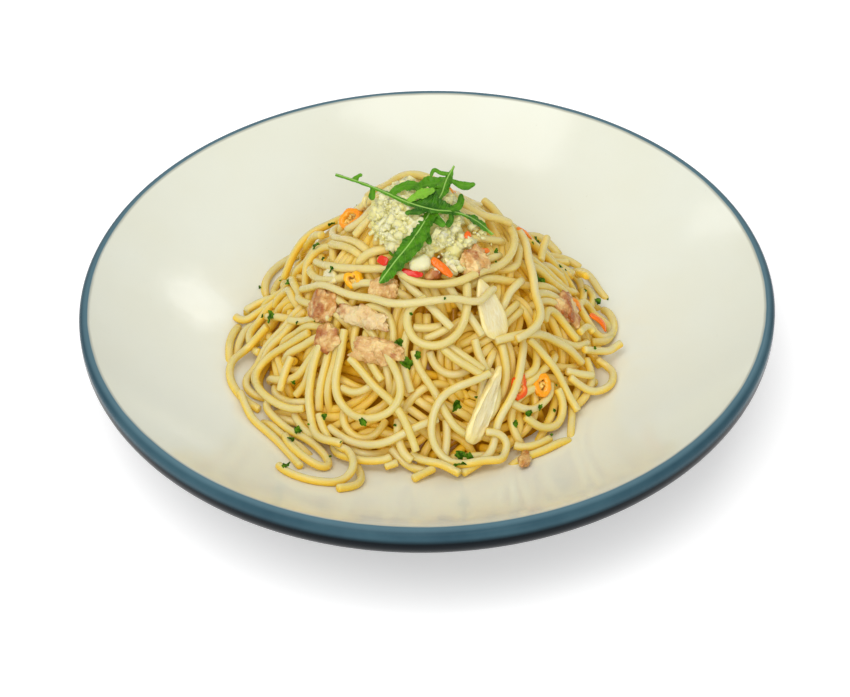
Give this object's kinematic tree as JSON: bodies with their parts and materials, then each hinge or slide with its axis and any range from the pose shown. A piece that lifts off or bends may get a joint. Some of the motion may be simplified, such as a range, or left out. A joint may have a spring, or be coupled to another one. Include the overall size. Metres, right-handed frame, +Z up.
{
  "type": "plate of spaghetti",
  "caption": "Wide shallow plate with a heap of oiled spaghetti, garlic, chilli, browned meat, grated cheese and two rocket leaves.",
  "frame": {"origin": "centre of the foot ring's underside, on the table", "axes": "+Z up, -Y towards the front of the served plate, +X to the right"},
  "size_m": [0.231, 0.231, 0.087],
  "materials": {
    "stoneware": "gloss",
    "pasta": "oiled",
    "cheese": "crumbly",
    "rocket": "satin",
    "garlic": "satin",
    "meat": "browned",
    "chilli": "gloss"
  },
  "bodies": {
    "root": {"plate": "stoneware", "spaghetti": "pasta", "grated_cheese": "cheese", "cheese_chunk": "cheese", "rocket_leaf_1": "rocket", "rocket_leaf_2": "rocket", "garlic_slice_1": "garlic", "garlic_slice_2": "garlic", "garlic_chip_1": "garlic", "garlic_chip_2": "garlic", "garlic_chip_3": "garlic", "browned_meat_1": "meat", "browned_meat_2": "meat", "browned_meat_3": "meat", "browned_meat_4": "meat", "browned_meat_5": "meat", "browned_meat_6": "meat", "browned_meat_7": "meat", "browned_meat_8": "meat", "browned_meat_9": "meat", "chilli_1": "chilli", "chilli_2": "chilli", "chilli_3": "chilli", "chilli_4": "chilli", "chilli_5": "chilli", "chilli_6": "chilli", "chilli_7": "chilli", "chilli_8": "chilli", "chilli_9": "chilli", "chilli_10": "chilli", "chilli_11": "chilli", "chilli_12": "chilli", "chilli_13": "chilli"}
  },
  "joints": []
}
